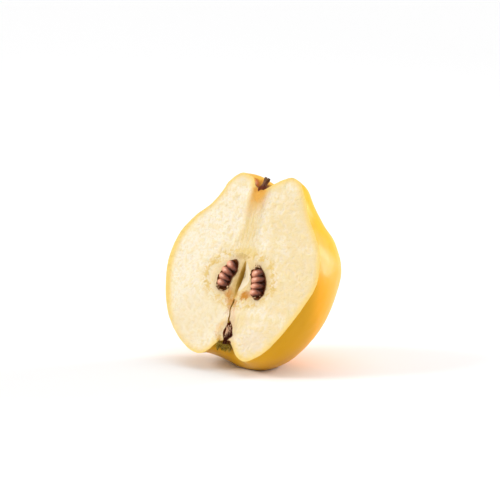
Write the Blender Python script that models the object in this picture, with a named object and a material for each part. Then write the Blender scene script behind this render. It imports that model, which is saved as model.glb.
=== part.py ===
# Half a quince, cut through from stem to calyx, leaning back on the round of its skin.
#
# Sizes are in millimetres and become metres through MM. The fruit has a frame of its own:
# Z runs up its core from the calyx to the stem, the cut face is the plane Y = 0 and looks
# along -Y, and the flesh lies behind it on +Y. An empty leans that frame back and sets the
# flat of the skin on Z = 0.

import math

import bmesh
import bpy
from mathutils import Vector

MM = 0.001
LEAN_DEG = 24.0
REST_FLAT_DEPTH = 2.2
TOUCHING_GAP = 0.3
SHARP_DEG = 40.0

# Ribs of the skin, each (distance from the core, height), from calyx basin to stem basin
CALYX_POLE = (0.0, 3.0)
STEM_POLE = (0.0, 77.6)
RIB_RIGHT = (
    (4.0, 0.8), (8.3, -4.0), (13.5, -6.0), (22.0, -2.0), (30.8, 9.0),
    (38.5, 22.5), (43.4, 36.0), (41.5, 49.5), (35.3, 59.8), (29.6, 68.2),
    (25.6, 75.6), (20.8, 83.1), (15.5, 85.5), (8.7, 83.1), (3.4, 79.7),
)
RIB_RIGHT_BACK = (
    (4.0, 0.8), (8.6, -4.4), (14.5, -7.0), (24.0, -5.4), (35.4, 4.2),
    (44.0, 19.5), (46.8, 37.0), (46.4, 50.0), (41.2, 60.5), (32.8, 68.4),
    (26.4, 75.6), (21.2, 82.4), (15.5, 84.8), (8.7, 82.4), (3.4, 79.0),
)
RIB_BACK = (
    (4.0, 0.8), (8.2, -3.4), (15.0, -6.5), (26.5, -5.3), (38.5, 2.8),
    (45.0, 18.0), (45.5, 36.0), (42.6, 49.5), (36.5, 60.0), (30.0, 68.1),
    (25.5, 74.5), (20.6, 80.8), (15.0, 83.2), (8.7, 81.4), (3.4, 78.8),
)
RIB_LEFT_BACK = (
    (4.2, 0.8), (8.0, -1.6), (14.0, -3.1), (25.5, -2.7), (37.5, 5.0),
    (43.8, 20.0), (44.8, 36.0), (42.6, 49.5), (36.6, 60.0), (29.5, 68.0),
    (25.0, 75.0), (20.6, 82.3), (15.0, 85.7), (8.4, 83.6), (4.2, 79.2),
)
RIB_LEFT = (
    (4.4, 0.8), (8.7, -3.8), (14.0, -5.9), (23.0, -2.8), (33.4, 5.9),
    (41.2, 18.5), (45.2, 36.5), (43.4, 49.7), (37.1, 59.7), (28.6, 67.4),
    (23.6, 74.6), (20.5, 80.6), (14.0, 85.4), (7.2, 83.4), (4.4, 79.2),
)
RIBS = (RIB_RIGHT, RIB_RIGHT_BACK, RIB_BACK, RIB_LEFT_BACK, RIB_LEFT)
STEPS_BETWEEN_RIBS = 7
STEPS_BETWEEN_POINTS = 3

# Seed chambers: centre on the cut face (x, z), half sizes (x, y, z) and lean of the long axis
CHAMBERS = {
    "left": {"centre": (-8.5, 34.2), "half": (4.5, 5.2, 8.6), "lean_deg": 15.0},
    "right": {"centre": (10.4, 32.4), "half": (4.8, 5.2, 8.9), "lean_deg": -13.0},
}
# Seeds lie across a chamber one above the other: centre = first + step * i + bend * i * i
SEED_ROWS = {
    "left": {"first": (-7.3, 38.9), "step": (-2.4, -3.0), "bend": (0.47, 0.0),
             "tilt_deg": 30.0, "tilt_step_deg": -5.5, "blunt_end": -1.0},
    "right": {"first": (8.7, 37.1), "step": (1.0, -3.2), "bend": (-0.2, 0.0),
              "tilt_deg": -20.0, "tilt_step_deg": 6.0, "blunt_end": -1.0},
}
SEED_LENGTHS = (6.9, 7.5, 6.6, 6.1)
SEED_THICKNESSES = (4.5, 3.7, 3.6, 4.1)
SEED_WIDTH = 3.8
SEED_TAPER = 0.22
SEED_DEPTH = 1.2
BACK_SEED_DEPTH = 3.2

# Gaps along the core: the slit between the carpels, its tail, and the tube above the calyx
SLIT = {"centre": (0.2, 34.6), "half": (1.25, 3.0, 8.4), "lean_deg": 5.0}
SLIT_TAIL = {"centre": (-1.2, 20.6), "half": (0.5, 1.8, 8.6), "lean_deg": 1.0}
CALYX_TUBE = {"centre": (0.2, 5.9), "half": (2.5, 2.5, 5.9), "lean_deg": 6.0}

# Stem: a woody stub that leans to the right out of its basin, with a flared broken end
STEM_ROOT = (-2.45, 1.75, 76.4)
STEM_LEAN = 0.34
STEM_STATIONS = ((0.0, 1.05), (2.2, 1.15), (4.0, 1.1), (6.2, 1.25), (7.4, 1.5), (8.0, 1.42))
STEM_HOLE_RADIUS = 1.15 + TOUCHING_GAP
STEM_HOLE_DEPTH_BELOW_ROOT = TOUCHING_GAP

# Calyx: a half ring in the basin that carries dried sepals and the stubs of the stamens
CALYX_RING_RADIUS = 2.7
CALYX_RING_HEIGHT = 0.75
CALYX_RING_THICKNESS = 1.2
CALYX_RING_ENDS_DEG = (16.0, 164.0)
SEPAL_AZIMUTHS_DEG = (24.0, 62.0, 98.0, 130.0, 160.0)
SEPAL_PATH = ((2.5, 0.7), (3.8, 0.0), (4.9, -1.1), (5.6, -2.3), (5.8, -3.4))
SEPAL_RADII = (0.5, 0.5, 0.45, 0.36, 0.3)
SEPAL_BROADENING = 3.4
STAMEN_AZIMUTHS_DEG = (38.0, 66.0, 94.0, 122.0, 146.0)
STAMEN_TIPS = (5.0, 7.6, 6.2, 8.2, 5.6)
STAMEN_RADIUS = 0.32

COLOURS = {
    "fruit_half": ((0.93, 0.83, 0.58), 0.5),
    "stem": ((0.16, 0.1, 0.08), 0.8),
    "calyx": ((0.2, 0.16, 0.06), 0.85),
    "seeds_left": ((0.34, 0.12, 0.08), 0.35),
    "seeds_right": ((0.34, 0.12, 0.08), 0.35),
}


def clear_scene():
    for old in list(bpy.data.objects):
        bpy.data.objects.remove(old, do_unlink=True)


def new_collection(name):
    collection = bpy.data.collections.new(name)
    bpy.context.scene.collection.children.link(collection)
    return collection


def new_material(name):
    colour, roughness = COLOURS[name]
    material = bpy.data.materials.new(name)
    material.use_nodes = True
    shader = material.node_tree.nodes["Principled BSDF"]
    shader.inputs["Base Color"].default_value = (*colour, 1.0)
    shader.inputs["Roughness"].default_value = roughness
    shader.inputs["Metallic"].default_value = 0.0
    return material


def add_object(name, mesh, collection, parent):
    thing = bpy.data.objects.new(name, mesh)
    thing.parent = parent
    collection.objects.link(thing)
    return thing


def mesh_from(name, bm):
    """Turn a bmesh into a smooth-shaded mesh with its normals pointing out."""
    bmesh.ops.recalc_face_normals(bm, faces=bm.faces)
    mesh = bpy.data.meshes.new(name)
    bm.to_mesh(mesh)
    bm.free()
    mesh.shade_smooth()
    mesh.set_sharp_from_angle(angle=math.radians(SHARP_DEG))
    return mesh


# ---- the fruit's body

def through(points, steps):
    """Smooth curve through points (centripetal Catmull-Rom), with its ends running straight."""
    points = [Vector(point) for point in points]
    points = [2 * points[0] - points[1]] + points + [2 * points[-1] - points[-2]]
    curve = []
    for a, b, c, d in zip(points, points[1:], points[2:], points[3:]):
        tb = (b - a).length ** 0.5
        tc = tb + (c - b).length ** 0.5
        td = tc + (d - c).length ** 0.5
        for step in range(steps):
            t = tb + (tc - tb) * step / steps
            ab = a.lerp(b, t / tb)
            bc = b.lerp(c, (t - tb) / (tc - tb))
            cd = c.lerp(d, (t - tc) / (td - tc))
            curve.append(ab.lerp(bc, t / tc).lerp(bc.lerp(cd, (t - tb) / (td - tb)), (t - tb) / (tc - tb)))
    curve.append(points[-2])
    return curve


def between_ribs(a, b, c, d, t):
    """Catmull-Rom blend of one station on four neighbouring ribs, between b and c."""
    return 0.5 * (2 * b + (c - a) * t + (2 * a - 5 * b + 4 * c - d) * t ** 2
                  + (3 * b - a - 3 * c + d) * t ** 3)


def skin_profiles():
    """Profiles of the skin round the back, from the right of the cut face to the left."""
    ribs = [through((CALYX_POLE, *rib, STEM_POLE), STEPS_BETWEEN_POINTS) for rib in RIBS]
    before = [2 * a - b for a, b in zip(ribs[0], ribs[1])]
    after = [2 * a - b for a, b in zip(ribs[-1], ribs[-2])]
    padded = [before, *ribs, after]
    spans = len(ribs) - 1
    profiles = []
    for count in range(spans * STEPS_BETWEEN_RIBS + 1):
        span = min(count // STEPS_BETWEEN_RIBS, spans - 1)
        t = count / STEPS_BETWEEN_RIBS - span
        azimuth = math.pi * count / (spans * STEPS_BETWEEN_RIBS)
        out = Vector((math.cos(azimuth), math.sin(azimuth), 0.0))
        profile = []
        for a, b, c, d in zip(*padded[span:span + 4]):
            radius, height = between_ribs(a, b, c, d, t)
            profile.append(out * radius + Vector((0.0, 0.0, height)))
        profiles.append(profile)
    for profile in (profiles[0], profiles[-1]):
        for point in profile:
            point.y = 0.0
    return profiles


def fruit_body(profiles):
    """Loft the skin between the profiles and close it with the flat cut face."""
    bm = bmesh.new()
    calyx_pole = bm.verts.new(profiles[0][0] * MM)
    stem_pole = bm.verts.new(profiles[0][-1] * MM)
    rows = [[bm.verts.new(point * MM) for point in profile[1:-1]] for profile in profiles]
    for row, following in zip(rows, rows[1:]):
        bm.faces.new((calyx_pole, row[0], following[0]))
        bm.faces.new((stem_pole, following[-1], row[-1]))
        for low in range(len(row) - 1):
            bm.faces.new((row[low], row[low + 1], following[low + 1], following[low]))
    bm.faces.new((calyx_pole, *rows[0], stem_pole, *reversed(rows[-1])))
    return mesh_from("fruit_half", bm)


def lean_back(profiles):
    """Empty that leans the fruit back and puts its rest flat on the middle of Z = 0."""
    lean = bpy.data.objects.new("fruit_lean", None)
    lean.rotation_euler.x = math.radians(-LEAN_DEG)
    rotation = lean.rotation_euler.to_matrix()
    points = [rotation @ point for profile in profiles for point in profile]
    low = [min(point[axis] for point in points) for axis in range(3)]
    high = [max(point[axis] for point in points) for axis in range(3)]
    floor = low[2] + REST_FLAT_DEPTH
    lean.location = Vector((-(low[0] + high[0]) / 2, -(low[1] + high[1]) / 2, -floor)) * MM
    return lean


# ---- cutters

def ellipsoid_mesh(name, half, segments=20, rings=14):
    bm = bmesh.new()
    bmesh.ops.create_uvsphere(bm, u_segments=segments, v_segments=rings, radius=MM)
    bmesh.ops.scale(bm, vec=half, verts=bm.verts)
    return mesh_from(name, bm)


def hide_cutter(cutter):
    cutter.hide_render = True
    cutter.display_type = "WIRE"


def hollow(name, shape, shrink, collection, parent):
    """Ellipsoid on the cut face, leaned in its plane, that a hollow is cut or filled with."""
    half = [size - shrink for size in shape["half"]]
    cutter = add_object(name, ellipsoid_mesh(name, half), collection, parent)
    x, z = shape["centre"]
    cutter.location = Vector((x, 0.0, z)) * MM
    cutter.rotation_euler.y = math.radians(shape["lean_deg"])
    hide_cutter(cutter)
    return cutter


def stem_direction():
    return Vector((STEM_LEAN, 0.0, 1.0)).normalized()


def stem_hole(collection, parent):
    bottom = Vector(STEM_ROOT) - stem_direction() * STEM_HOLE_DEPTH_BELOW_ROOT
    depth = 6.0
    bm = bmesh.new()
    bmesh.ops.create_cone(bm, cap_ends=True, segments=16, depth=depth * MM,
                          radius1=STEM_HOLE_RADIUS * MM, radius2=STEM_HOLE_RADIUS * MM)
    cutter = add_object("stem_hole", mesh_from("stem_hole", bm), collection, parent)
    cutter.location = (bottom + stem_direction() * depth / 2) * MM
    cutter.rotation_euler.y = math.atan(STEM_LEAN)
    hide_cutter(cutter)
    return cutter


def rest_flat(collection):
    """Block under Z = 0 that pares the skin to the small flat the fruit rests on."""
    width = 80.0
    bm = bmesh.new()
    bmesh.ops.create_cube(bm, size=width * MM)
    cutter = add_object("rest_flat", mesh_from("rest_flat", bm), collection, None)
    cutter.location.z = -width / 2 * MM
    hide_cutter(cutter)
    return cutter


def apply_boolean(thing, operation, cutter):
    modifier = thing.modifiers.new(cutter.name, "BOOLEAN")
    modifier.operation = operation
    modifier.object = cutter


# ---- seeds, calyx and stem

def seed_mesh(length, thickness, blunt_end):
    """Plump drop along X, wider at its blunt end."""
    bm = bmesh.new()
    bmesh.ops.create_uvsphere(bm, u_segments=12, v_segments=8, radius=1.0)
    for vert in bm.verts:
        across, deep, along = vert.co
        girth = 1.0 + SEED_TAPER * along * blunt_end
        vert.co = Vector((along * length / 2,
                          deep * girth * SEED_WIDTH / 2,
                          across * girth * thickness / 2)) * MM
    return mesh_from("seed", bm)


def seed_row(side, collection, parent):
    """Front row of four seeds, and three behind them in the gaps between the first."""
    row = SEED_ROWS[side]
    seeds = []
    for place in (0.0, 1.0, 2.0, 3.0, 0.5, 1.5, 2.5):
        in_front = place == int(place)
        length = SEED_LENGTHS[int(place)] - (0.0 if in_front else 1.0)
        mesh = seed_mesh(length, SEED_THICKNESSES[int(place)], row["blunt_end"])
        seed = add_object("seed", mesh, collection, parent)
        x, z = (row["first"][k] + row["step"][k] * place + row["bend"][k] * place ** 2 for k in (0, 1))
        seed.location = Vector((x, SEED_DEPTH if in_front else BACK_SEED_DEPTH, z)) * MM
        seed.rotation_euler.y = math.radians(row["tilt_deg"] + row["tilt_step_deg"] * place)
        seeds.append(seed)
    return seeds


def fuse(name, pieces, collection):
    """Join overlapping pieces into one body by a Boolean union on a collection."""
    first, *others = pieces
    joined = new_collection(name + "_pieces")
    for piece in others:
        joined.objects.link(piece)
    modifier = first.modifiers.new("fuse", "BOOLEAN")
    modifier.operation = "UNION"
    modifier.operand_type = "COLLECTION"
    modifier.collection = joined
    evaluated = first.evaluated_get(bpy.context.evaluated_depsgraph_get())
    mesh = bpy.data.meshes.new_from_object(evaluated)
    mesh.name = name
    body = add_object(name, mesh, collection, first.parent)
    body.matrix_local = first.matrix_local.copy()
    for piece in pieces:
        bpy.data.objects.remove(piece, do_unlink=True)
    bpy.data.collections.remove(joined)
    return body


def strand(name, points, radii, sides, collection, parent):
    """Tapered round tube through points, with closed ends, as a mesh object."""
    curve = bpy.data.curves.new(name, "CURVE")
    curve.dimensions = "3D"
    curve.bevel_depth = MM
    curve.bevel_resolution = sides // 2 - 2
    curve.use_fill_caps = True
    spline = curve.splines.new("POLY")
    spline.points.add(len(points) - 1)
    for point, place, radius in zip(spline.points, points, radii):
        point.co = (*(Vector(place) * MM), 1.0)
        point.radius = radius
    source = add_object(name + "_curve", curve, collection, parent)
    evaluated = source.evaluated_get(bpy.context.evaluated_depsgraph_get())
    mesh = bpy.data.meshes.new_from_object(evaluated)
    mesh.name = name
    bpy.data.objects.remove(source, do_unlink=True)
    bm = bmesh.new()
    bm.from_mesh(mesh)
    bmesh.ops.remove_doubles(bm, verts=bm.verts, dist=0.01 * MM)
    return add_object(name, mesh_from(name, bm), collection, parent)


def ring_piece(collection, parent):
    start, end = (math.radians(angle) for angle in CALYX_RING_ENDS_DEG)
    steps = 12
    angles = [start + (end - start) * step / steps for step in range(steps + 1)]
    points = [(CALYX_RING_RADIUS * math.cos(angle), CALYX_RING_RADIUS * math.sin(angle),
               CALYX_RING_HEIGHT) for angle in angles]
    return strand("calyx_ring", points, [CALYX_RING_THICKNESS / 2] * len(points), 8, collection, parent)


def sepal(azimuth_deg, collection, parent):
    """Dried sepal: a strand in the plane X = 0 made broad across it, then turned to its place."""
    points = [(0.0, radius, height) for radius, height in SEPAL_PATH]
    blade = strand("sepal", points, SEPAL_RADII, 8, collection, parent)
    last = len(SEPAL_PATH) - 1
    for vert in blade.data.vertices:
        drop = SEPAL_PATH[0][1] - vert.co.z / MM
        share = drop / (SEPAL_PATH[0][1] - SEPAL_PATH[last][1])
        vert.co.x *= SEPAL_BROADENING * max(0.35, 1.0 - 0.75 * share)
    blade.rotation_euler.z = math.radians(azimuth_deg - 90.0)
    return blade


def stamen(azimuth_deg, tip_height, collection, parent):
    """Stub of a stamen that bends from the ring up into the tube."""
    azimuth = math.radians(azimuth_deg)
    path = ((2.4, CALYX_RING_HEIGHT), (1.3, 0.9), (0.85, 2.2), (1.0, 4.2), (0.8, tip_height))
    points = [(radius * math.cos(azimuth), radius * math.sin(azimuth) + TOUCHING_GAP, height)
              for radius, height in path]
    radii = [STAMEN_RADIUS] * (len(points) - 1) + [STAMEN_RADIUS * 0.6]
    return strand("stamen", points, radii, 6, collection, parent)


def calyx(collection, parent):
    pieces = [ring_piece(collection, parent)]
    pieces += [sepal(azimuth, collection, parent) for azimuth in SEPAL_AZIMUTHS_DEG]
    pieces += [stamen(azimuth, tip, collection, parent)
               for azimuth, tip in zip(STAMEN_AZIMUTHS_DEG, STAMEN_TIPS)]
    return fuse("calyx", pieces, collection)


def stem(collection, parent):
    root = Vector(STEM_ROOT)
    points = [root + stem_direction() * along for along, _ in STEM_STATIONS]
    radii = [radius for _, radius in STEM_STATIONS]
    return strand("stem", points, radii, 12, collection, parent)


def build():
    clear_scene()
    parts = new_collection("quince_half")
    cutters = new_collection("cutters")
    profiles = skin_profiles()
    lean = lean_back(profiles)
    parts.objects.link(lean)

    body = add_object("fruit_half", fruit_body(profiles), parts, lean)
    pieces = {"fruit_half": body, "stem": stem(parts, lean), "calyx": calyx(parts, lean)}
    for side, chamber in CHAMBERS.items():
        apply_boolean(body, "DIFFERENCE", hollow("chamber_" + side, chamber, 0.0, cutters, lean))
        seeds = fuse("seeds_" + side, seed_row(side, parts, lean), parts)
        walls = hollow("seed_room_" + side, chamber, TOUCHING_GAP, cutters, lean)
        apply_boolean(seeds, "INTERSECT", walls)
        pieces[seeds.name] = seeds
    for name, gap in (("slit", SLIT), ("slit_tail", SLIT_TAIL), ("calyx_tube", CALYX_TUBE)):
        apply_boolean(body, "DIFFERENCE", hollow(name, gap, 0.0, cutters, lean))
    apply_boolean(body, "DIFFERENCE", stem_hole(cutters, lean))
    apply_boolean(body, "DIFFERENCE", rest_flat(cutters))
    for name, piece in pieces.items():
        piece.data.materials.clear()
        piece.data.materials.append(new_material(name))


build()
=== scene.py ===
import math
import random

import bmesh
import bpy
import numpy as np
from mathutils import Matrix, Vector, kdtree, noise


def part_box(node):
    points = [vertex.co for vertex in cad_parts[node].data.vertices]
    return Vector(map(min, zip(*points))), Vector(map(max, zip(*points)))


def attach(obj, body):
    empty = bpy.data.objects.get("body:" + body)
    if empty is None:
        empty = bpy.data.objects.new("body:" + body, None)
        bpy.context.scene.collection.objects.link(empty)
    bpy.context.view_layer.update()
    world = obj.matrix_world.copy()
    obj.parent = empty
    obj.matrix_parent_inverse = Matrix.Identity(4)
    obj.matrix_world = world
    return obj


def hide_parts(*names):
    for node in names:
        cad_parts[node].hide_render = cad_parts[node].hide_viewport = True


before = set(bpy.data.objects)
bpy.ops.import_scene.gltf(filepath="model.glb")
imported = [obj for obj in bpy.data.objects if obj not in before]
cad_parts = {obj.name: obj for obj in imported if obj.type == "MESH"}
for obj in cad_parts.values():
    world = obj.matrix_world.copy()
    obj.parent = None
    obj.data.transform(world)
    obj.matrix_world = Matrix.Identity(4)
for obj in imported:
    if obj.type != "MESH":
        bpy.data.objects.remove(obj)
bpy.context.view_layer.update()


# ---- The fruit's flesh and skin
# One half of a quince, cut by a knife from stem to calyx: cream flesh, gritty with stone cells,
# inside a thin golden skin. Ribs of the skin are lofted into a whole fruit, which the knife's
# slightly uneven face pares to a half, and the hollows of the core are cut into that.

# The fruit's own frame is in millimetres: Z runs up the core from calyx to stem, and the cut
# lies along Y = 0 with the flesh behind it on +Y. It leans back as it rests.
MM = 0.001
LEAN = math.radians(-24.0)

# Ribs of the skin, each (distance from the core, height), from calyx basin to stem basin
CALYX_POLE = (0.0, 3.0)
STEM_POLE = (0.0, 77.6)
RIB_RIGHT = (
    (4.0, 0.8), (8.3, -4.0), (13.5, -6.0), (22.0, -2.0), (30.8, 9.0),
    (38.5, 22.5), (43.4, 36.0), (41.5, 49.5), (35.3, 59.8), (29.6, 68.2),
    (25.6, 75.6), (20.8, 83.1), (15.5, 85.5), (8.7, 83.1), (3.4, 79.7),
)
RIB_RIGHT_BACK = (
    (4.0, 0.8), (8.6, -4.4), (14.5, -7.0), (24.0, -5.4), (35.4, 4.2),
    (44.0, 19.5), (46.8, 37.0), (46.4, 50.0), (41.2, 60.5), (32.8, 68.4),
    (26.4, 75.6), (21.2, 82.4), (15.5, 84.8), (8.7, 82.4), (3.4, 79.0),
)
RIB_BACK = (
    (4.0, 0.8), (8.2, -3.4), (15.0, -6.5), (26.5, -5.3), (38.5, 2.8),
    (45.0, 18.0), (45.5, 36.0), (42.6, 49.5), (36.5, 60.0), (30.0, 68.1),
    (25.5, 74.5), (20.6, 80.8), (15.0, 83.2), (8.7, 81.4), (3.4, 78.8),
)
RIB_LEFT_BACK = (
    (4.2, 0.8), (8.0, -1.6), (14.0, -3.1), (25.5, -2.7), (37.5, 5.0),
    (43.8, 20.0), (44.8, 36.0), (42.6, 49.5), (36.6, 60.0), (29.5, 68.0),
    (25.0, 75.0), (20.8, 82.9), (14.6, 86.6), (8.4, 84.2), (4.2, 79.4),
)
RIB_LEFT = (
    (4.4, 0.8), (8.7, -3.8), (14.0, -5.9), (23.0, -2.8), (33.4, 5.9),
    (41.2, 18.5), (45.2, 36.5), (43.4, 49.7), (37.1, 59.7), (28.6, 67.4),
    (23.6, 74.6), (20.5, 80.6), (14.0, 85.4), (7.2, 83.4), (4.4, 79.2),
)
RIBS = (RIB_RIGHT, RIB_RIGHT_BACK, RIB_BACK, RIB_LEFT_BACK, RIB_LEFT)
STEPS_BETWEEN_RIBS = 28
STEPS_BETWEEN_POINTS = 9
LUMP_HEIGHT = 0.3
LUMP_SPAN = 13.0
FINE_LUMP_SHARE = 0.4
SMOOTH_NEAR_CORE = 12.0
BELLY_MIDDLE = Vector((0.0, 0.0, 38.0))


def through(points, steps):
    """Smooth curve through points (centripetal Catmull-Rom), with its ends running straight."""
    points = [Vector(point) for point in points]
    points = [2 * points[0] - points[1]] + points + [2 * points[-1] - points[-2]]
    curve = []
    for a, b, c, d in zip(points, points[1:], points[2:], points[3:]):
        tb = (b - a).length ** 0.5
        tc = tb + (c - b).length ** 0.5
        td = tc + (d - c).length ** 0.5
        for step in range(steps):
            t = tb + (tc - tb) * step / steps
            ab = a.lerp(b, t / tb)
            bc = b.lerp(c, (t - tb) / (tc - tb))
            cd = c.lerp(d, (t - tc) / (td - tc))
            before, after = ab.lerp(bc, t / tc), bc.lerp(cd, (t - tb) / (td - tb))
            curve.append(before.lerp(after, (t - tb) / (tc - tb)))
    curve.append(points[-2])
    return curve


def between_ribs(a, b, c, d, t):
    """Catmull-Rom blend of four neighbouring ribs, between b and c."""
    return 0.5 * (2 * b + (c - a) * t + (2 * a - 5 * b + 4 * c - d) * t ** 2
                  + (3 * b - a - 3 * c + d) * t ** 3)


def skin_profiles():
    """Profiles of the skin from the right of the cut round the back: (profile, point, xyz)."""
    ribs = [np.array(through((CALYX_POLE, *rib, STEM_POLE), STEPS_BETWEEN_POINTS)) for rib in RIBS]
    padded = [2 * ribs[0] - ribs[1], *ribs, 2 * ribs[-1] - ribs[-2]]
    spans = len(ribs) - 1
    count = spans * STEPS_BETWEEN_RIBS
    profiles = []
    for place in range(count + 1):
        span = min(place // STEPS_BETWEEN_RIBS, spans - 1)
        radius, height = between_ribs(*padded[span:span + 4], place / STEPS_BETWEEN_RIBS - span).T
        azimuth = math.pi * place / count
        sideways, backwards = radius * math.cos(azimuth), radius * math.sin(azimuth)
        profiles.append(np.stack((sideways, backwards, height), axis=1))
    profiles[0][:, 1] = 0.0
    profiles[-1][:, 1] = 0.0
    return np.array(profiles)


def wander(point, span, layer=0.0):
    """Smooth random value, about -1 to 1, that changes over span millimetres."""
    return noise.noise(Vector(point) / span + Vector((layer, 0.0, 0.0)))


profiles = skin_profiles()
turn = np.array(Matrix.Rotation(LEAN, 3, "X"))
leaned = (profiles @ turn.T).reshape(-1, 3)
half_low, half_high = (np.array(corner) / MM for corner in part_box("fruit_half"))
offset = (half_low + half_high - leaned.min(0) - leaned.max(0)) / 2
offset[2] = half_high[2] - leaned[:, 2].max()
moved = Matrix.Translation(Vector(offset) * MM)
fruit_place = moved @ Matrix.Rotation(LEAN, 4, "X") @ Matrix.Scale(MM, 4)


def add(name, data):
    """New object in the scene."""
    thing = bpy.data.objects.new(name, data)
    bpy.context.scene.collection.objects.link(thing)
    return thing


def thing_from(name, points, faces, slot_numbers=None):
    """Object made of points, in millimetres of the fruit's frame, and faces."""
    mesh = bpy.data.meshes.new(name)
    mesh.from_pydata([tuple(point) for point in points], [], faces)
    if slot_numbers is not None:
        mesh.polygons.foreach_set("material_index", slot_numbers)
    mesh.shade_smooth()
    return add(name, mesh)


def ring_faces(rings, count):
    """Four-sided faces between rings of count points, one ring after the other."""
    faces = []
    for start in range(0, (rings - 1) * count, count):
        for k in range(count):
            after = (k + 1) % count
            faces.append((start + k, start + after, start + count + after, start + count + k))
    return faces


def settle(thing):
    """Carry a finished mesh from the fruit's frame to its place, in metres."""
    thing.data.transform(fruit_place)
    thing.data.update()


def keep_result(thing):
    """Turn what the modifiers make of a thing into its plain mesh, and take them off."""
    evaluated = thing.evaluated_get(bpy.context.evaluated_depsgraph_get())
    mesh = bpy.data.meshes.new_from_object(evaluated)
    mesh.name = thing.name
    old = thing.data
    thing.modifiers.clear()
    thing.data = mesh
    bpy.data.meshes.remove(old)


def cut(thing, cutter, operation="DIFFERENCE"):
    """Boolean of one closed mesh with another, which is then removed."""
    modifier = thing.modifiers.new("cut", "BOOLEAN")
    modifier.operation = operation
    modifier.solver = "MANIFOLD"
    modifier.material_mode = "INDEX"
    modifier.object = cutter
    keep_result(thing)
    bpy.data.objects.remove(cutter, do_unlink=True)


class Link:
    """A node's output that takes part in arithmetic: each sign adds a Math node."""

    def __init__(self, graph, socket):
        self.graph = graph
        self.socket = socket

    def math(self, operation, first, second=0.0):
        return self.graph.node("ShaderNodeMath", {"operation": operation}, {0: first, 1: second})

    def __add__(self, other):
        return self.math("ADD", self, other)

    def __sub__(self, other):
        return self.math("SUBTRACT", self, other)

    def __rsub__(self, other):
        return self.math("SUBTRACT", other, self)

    def __mul__(self, other):
        return self.math("MULTIPLY", self, other)

    def __truediv__(self, other):
        return self.math("DIVIDE", self, other)

    def __rtruediv__(self, other):
        return self.math("DIVIDE", other, self)

    def __pow__(self, other):
        return self.math("POWER", self, other)

    def __rpow__(self, other):
        return self.math("POWER", other, self)

    def __abs__(self):
        return self.math("ABSOLUTE", self)

    __radd__ = __add__
    __rmul__ = __mul__


class Graph:
    """The nodes of one material or of one Geometry Nodes tree."""

    def __init__(self, tree):
        self.tree = tree

    def node(self, kind, settings=None, sockets=None, out=0):
        """Add a node with its settings, then the value or link of each socket; give one output."""
        made = self.tree.nodes.new(kind)
        for name, value in (settings or {}).items():
            setattr(made, name, value)
        for name, value in (sockets or {}).items():
            if isinstance(value, Link):
                self.tree.links.new(value.socket, made.inputs[name])
            else:
                made.inputs[name].default_value = value
        return Link(self, made.outputs[out]) if made.outputs else made


class Finish(Graph):
    """A material whose patterns are laid out in millimetres of the fruit's frame."""

    def __init__(self, name):
        self.material = bpy.data.materials.new(name)
        self.material.use_nodes = True
        super().__init__(self.material.node_tree)
        self.tree.nodes.clear()
        self.output = self.node("ShaderNodeOutputMaterial")
        home = fruit_place.inverted()
        self.place = self.node("ShaderNodeMapping", {"vector_type": "POINT"}, {
            "Vector": self.node("ShaderNodeTexCoord", out="Object"),
            "Location": home.to_translation(),
            "Rotation": (-LEAN, 0.0, 0.0),
            "Scale": (1 / MM, 1 / MM, 1 / MM),
        })
        self.x, self.y, self.z = (
            self.node("ShaderNodeSeparateXYZ", None, {0: self.place}, axis) for axis in range(3))

    def vector(self, x, y, z):
        """Place in a pattern, put together from three values."""
        return self.node("ShaderNodeCombineXYZ", None, {0: x, 1: y, 2: z})

    def noise(self, per_mm, detail=2.0, roughness=0.5, place=None, twist=0.0):
        """Smooth random value from 0 to 1, with per_mm changes in a millimetre."""
        return self.node("ShaderNodeTexNoise", None, {
            "Vector": place or self.place, "Scale": per_mm, "Detail": detail,
            "Roughness": roughness, "Distortion": twist})

    def rise(self, value, start, end):
        """0 where value is at start, 1 at end, smooth between and level beyond."""
        return self.node("ShaderNodeMapRange", {"interpolation_type": "SMOOTHSTEP"}, {
            "Value": value, "From Min": start, "From Max": end})

    def mix(self, share, first, second):
        """Colour that goes from first to second as share goes from 0 to 1."""
        return self.node("ShaderNodeMix", {"data_type": "RGBA"}, {0: share, 6: first, 7: second}, 2)

    def spot(self, x, z, half_x, half_z, lean, wobble):
        """1 in the middle of an oval on the cut face and 0 outside it, its edge moved by wobble."""
        across = (self.x - x - (self.z - z) * lean) / half_x
        along = (self.z - z) / half_z
        return self.rise((across * across + along * along) ** 0.5 + wobble, 1.0, 0.35)

    def attribute(self, name):
        """Value that the mesh stores at its points."""
        return self.node("ShaderNodeAttribute", {"attribute_name": name}, None, "Fac")

    def bump(self, height, depth_mm):
        """Relief of depth_mm between height 0 and height 1."""
        return self.node("ShaderNodeBump", None, {
            "Height": height, "Strength": 1.0, "Distance": depth_mm * MM})

    def surface(self, **sockets):
        """Principled surface; a socket's name is written with _ for each space."""
        named = {name.replace("_", " "): value for name, value in sockets.items()}
        shader = self.node("ShaderNodeBsdfPrincipled", None, named)
        self.tree.links.new(shader.socket, self.output.inputs["Surface"])
        return self.material


def paint(red, green, blue):
    """Colour given as 0 to 255 on a screen, as the linear values that shaders use."""
    linear = [((part / 255 + 0.055) / 1.055) ** 2.4 if part > 10 else part / 255 / 12.92
              for part in (red, green, blue)]
    return (*linear, 1.0)


GOLD = paint(242, 182, 10)
DEEP_GOLD = paint(234, 166, 6)
LEMON = paint(246, 198, 40)
ORANGE_GOLD = paint(238, 159, 4)
OLIVE_GOLD = paint(207, 153, 7)
BASIN_GOLD = paint(232, 184, 70)
RUSSET = paint(170, 84, 14)
RUSSET_STREAK = paint(180, 82, 8)
BASIN_FLOOR_SHADE = paint(112, 54, 8)
CRESCENT_SHADOW_BROWN = paint(96, 44, 8)
CALYX_OLIVE = paint(130, 100, 14)
FRECKLE_TAN = paint(170, 112, 40)


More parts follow.
